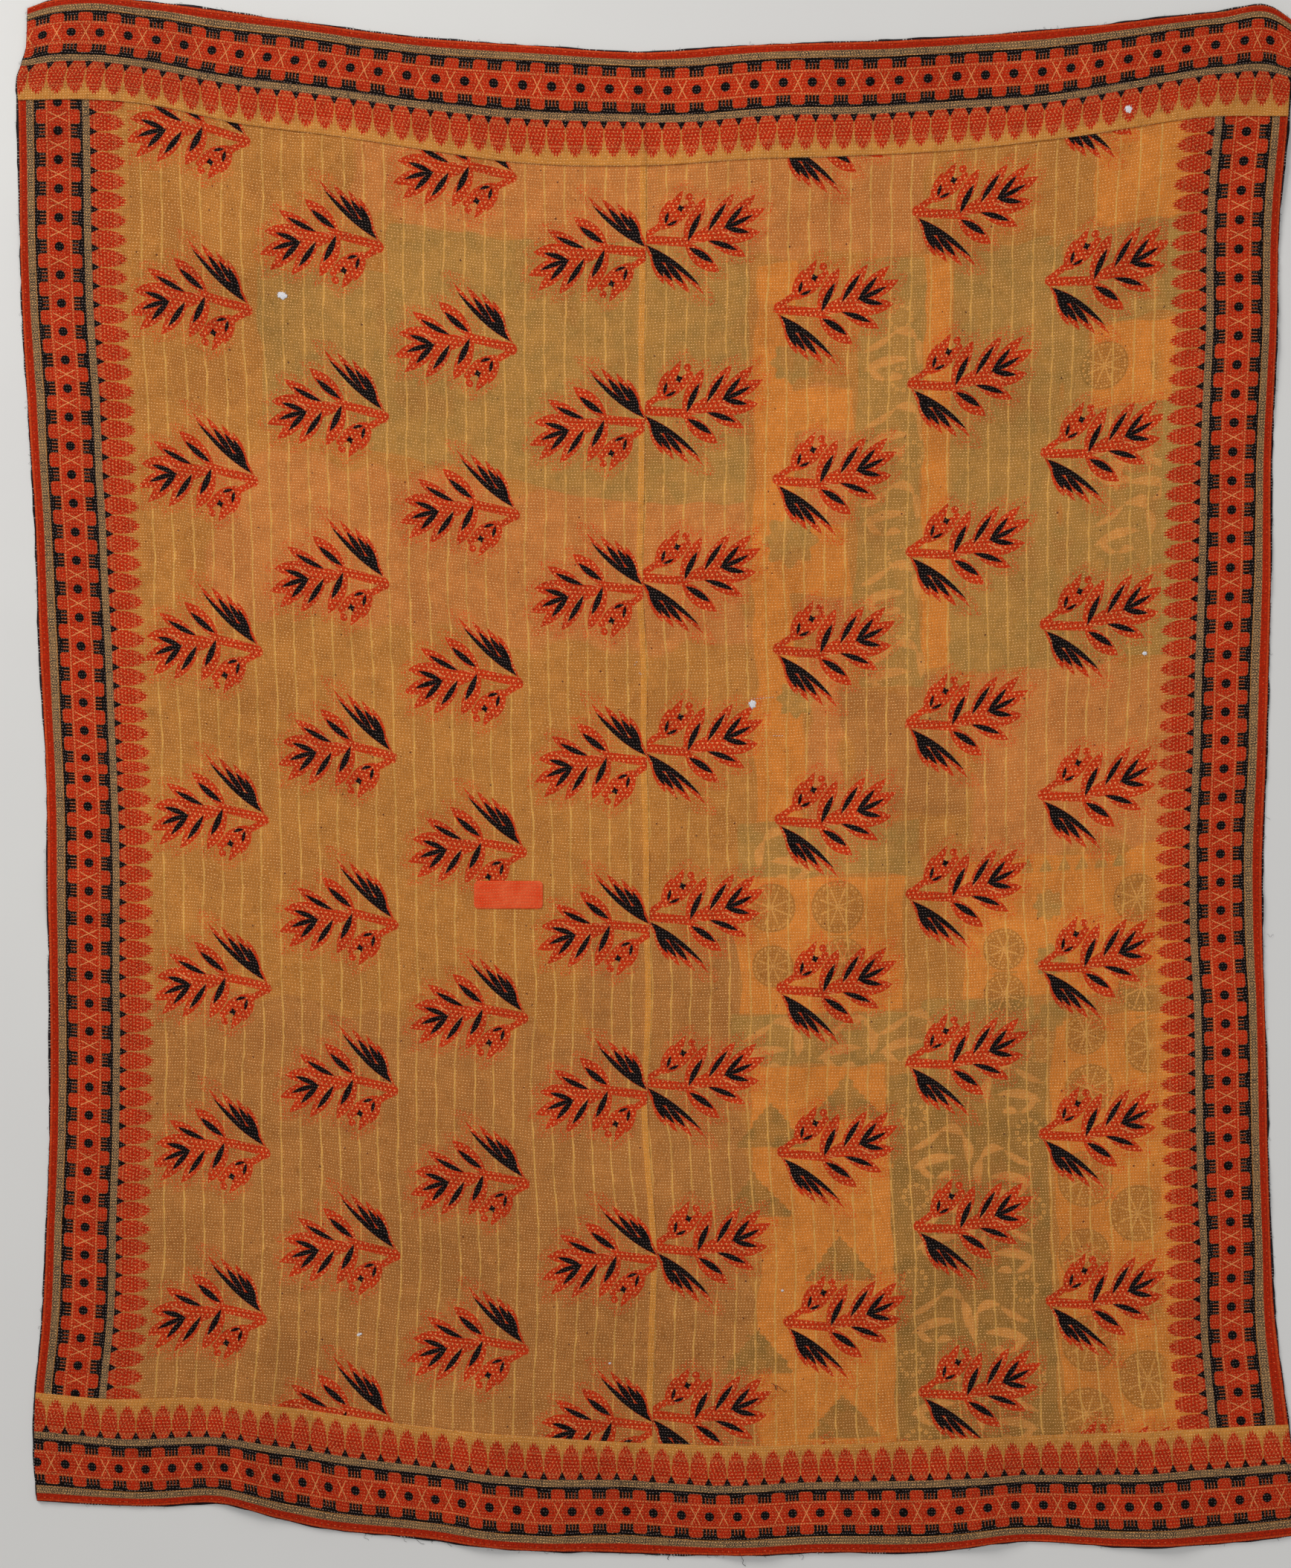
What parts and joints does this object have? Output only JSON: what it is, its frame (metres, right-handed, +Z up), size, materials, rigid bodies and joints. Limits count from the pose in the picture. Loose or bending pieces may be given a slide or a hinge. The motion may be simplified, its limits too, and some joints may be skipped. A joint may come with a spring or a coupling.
{
  "type": "kantha quilt",
  "caption": "Hand-stitched quilt of printed sari cotton laid out flat: joined panels, border bands over both ends, a darned patch and a dark backing cloth.",
  "frame": {"origin": "on the surface it lies on, under the middle of the quilt's outline", "axes": "+X across the quilt to the right of its face, +Y up its length to the top end, +Z up from the surface"},
  "size_m": [1.8806, 2.286, 0.0137],
  "materials": {
    "dark_backing": "black cotton with running stitches, frayed along its edge",
    "printed_panel": "worn mustard sari cotton with block-printed sprigs, a printed side border and kantha stitching",
    "border_cloth": "red, black and mustard printed border cotton with kantha stitching",
    "darned_patch": "plain orange-red cotton, darned down"
  },
  "bodies": {
    "root": {"backing": "dark_backing", "panel_left": "printed_panel", "panel_right": "printed_panel", "band_foot": "border_cloth", "band_top": "border_cloth", "patch": "darned_patch"}
  },
  "joints": []
}
